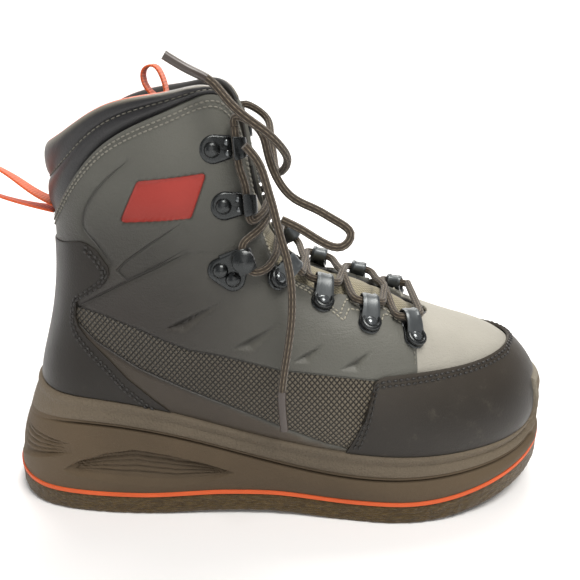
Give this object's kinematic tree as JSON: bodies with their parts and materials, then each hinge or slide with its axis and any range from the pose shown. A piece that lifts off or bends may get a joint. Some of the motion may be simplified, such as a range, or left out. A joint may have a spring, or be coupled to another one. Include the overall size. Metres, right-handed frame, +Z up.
{
  "type": "wading boot",
  "caption": "Right lace-up wading boot with felt sole, sculpted midsole, padded collar, hooks and orange pull loops.",
  "frame": {"origin": "centre of the heel at the floor", "axes": "+X from heel to toe, +Y to the medial side, +Z up"},
  "size_m": [0.3391, 0.1206, 0.2488],
  "materials": {
    "felt": "dense brown felt, matte",
    "orange_foam": "matte orange layer",
    "midsole_foam": "matte grey-brown moulded foam",
    "footbed": "dark cloth-topped foam",
    "upper_leather": "grey coated synthetic leather with fine grain",
    "collar_leather": "soft dark padded leather",
    "rand_leather": "dark matte coated leather",
    "tongue_textile": "light grey padded textile",
    "hardware": "glossy dark coated metal",
    "lace": "round braided cord with lighter flecks",
    "orange_webbing": "woven orange webbing"
  },
  "bodies": {
    "root": {"felt_outsole": "felt", "orange_wedge": "orange_foam", "midsole": "midsole_foam", "insole": "footbed", "upper": "upper_leather", "collar": "collar_leather", "toe_rand": "rand_leather", "heel_counter": "rand_leather", "tongue": "tongue_textile", "lace_loop_lateral_1": "hardware", "lace_loop_lateral_2": "hardware", "lace_loop_lateral_3": "hardware", "lace_loop_lateral_4": "hardware", "lace_loop_medial_1": "hardware", "lace_loop_medial_2": "hardware", "lace_loop_medial_3": "hardware", "lace_loop_medial_4": "hardware", "lock_hook_lateral": "hardware", "lock_hook_medial": "hardware", "hook_lateral_1": "hardware", "hook_lateral_2": "hardware", "hook_medial_1": "hardware", "hook_medial_2": "hardware", "lace_crossings": "lace", "lace_bow_loop": "lace", "lace_end_down": "lace", "lace_end_up": "lace", "heel_pull_loop": "orange_webbing", "tongue_pull_loop": "orange_webbing"}
  },
  "joints": []
}
